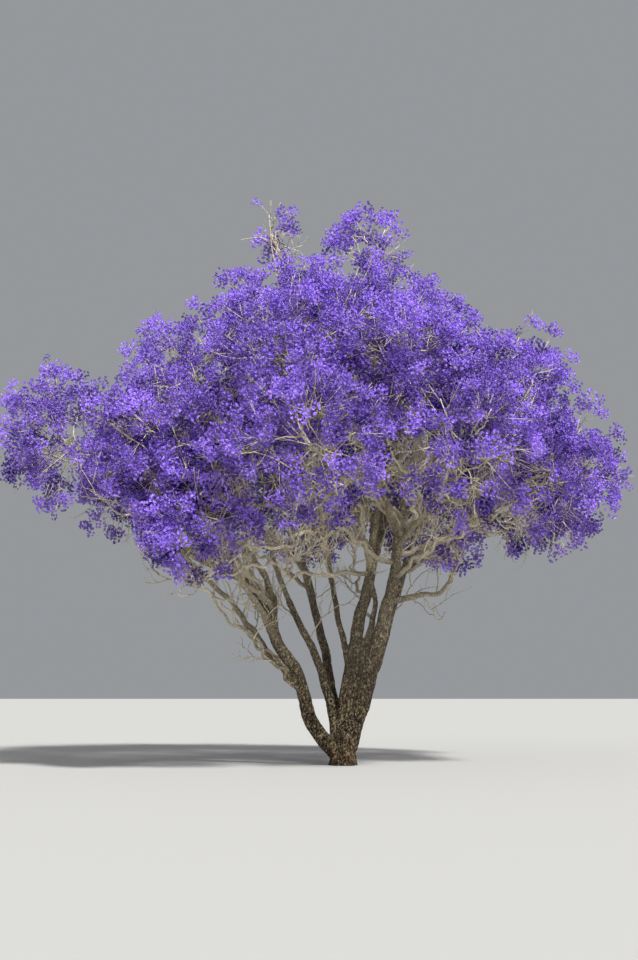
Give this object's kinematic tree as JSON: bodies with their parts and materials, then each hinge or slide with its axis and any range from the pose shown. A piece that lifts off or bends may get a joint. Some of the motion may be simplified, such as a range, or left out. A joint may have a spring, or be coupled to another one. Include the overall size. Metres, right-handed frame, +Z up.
{
  "type": "jacaranda tree",
  "caption": "Broad-crowned flowering tree in full bloom: a low trunk with a flared foot parts into leaning stems that carry an open, uneven dome of violet blossom.",
  "frame": {"origin": "middle of the flat cut under the trunk, where it meets the level ground", "axes": "+Z up, +X to the tree's right seen from its front, -Y towards the front"},
  "size_m": [13.4707, 11.8543, 12.6068],
  "materials": {
    "trunk_bark": "rough, finely fissured grey-brown bark, reddish near the foot",
    "limb_bark": "pale grey-brown bark, smoother and paler on the upper boughs and twigs",
    "blossom": "soft matt violet trumpet flowers in loose sprays"
  },
  "bodies": {
    "root": {"trunk": "trunk_bark", "stem_right": "limb_bark", "stem_centre": "limb_bark", "stem_left": "limb_bark", "stem_inner_left": "limb_bark", "stem_middle": "limb_bark", "stem_rear_left": "limb_bark", "stem_rear_right": "limb_bark", "low_limb_left": "limb_bark", "low_limb_right": "limb_bark", "skirt_bough_1": "limb_bark", "skirt_bough_2": "limb_bark", "skirt_bough_3": "limb_bark", "skirt_bough_4": "limb_bark", "skirt_bough_5": "limb_bark", "skirt_bough_7": "limb_bark", "skirt_bough_8": "limb_bark", "skirt_bough_9": "limb_bark", "shoulder_bough_1": "limb_bark", "shoulder_bough_2": "limb_bark", "shoulder_bough_3": "limb_bark", "shoulder_bough_4": "limb_bark", "shoulder_bough_5": "limb_bark", "shoulder_bough_6": "limb_bark", "shoulder_bough_7": "limb_bark", "shoulder_bough_8": "limb_bark", "upper_bough_1": "limb_bark", "upper_bough_2": "limb_bark", "upper_bough_3": "limb_bark", "upper_bough_4": "limb_bark", "top_bough": "limb_bark", "high_left_bough": "limb_bark", "left_shelf_bough": "limb_bark", "hanging_bough": "limb_bark", "skirt_mass_1": "blossom", "skirt_mass_2": "blossom", "skirt_mass_3": "blossom", "skirt_mass_4": "blossom", "skirt_mass_5": "blossom", "skirt_mass_6": "blossom", "skirt_mass_7": "blossom", "skirt_mass_8": "blossom", "skirt_mass_9": "blossom", "shoulder_mass_1": "blossom", "shoulder_mass_2": "blossom", "shoulder_mass_3": "blossom", "shoulder_mass_4": "blossom", "shoulder_mass_5": "blossom", "shoulder_mass_6": "blossom", "shoulder_mass_7": "blossom", "shoulder_mass_8": "blossom", "upper_mass_1": "blossom", "upper_mass_2": "blossom", "upper_mass_3": "blossom", "upper_mass_4": "blossom", "top_mass": "blossom", "high_left_mass": "blossom", "left_shelf_mass": "blossom", "hanging_mass": "blossom", "low_right_mass": "blossom"}
  },
  "joints": []
}
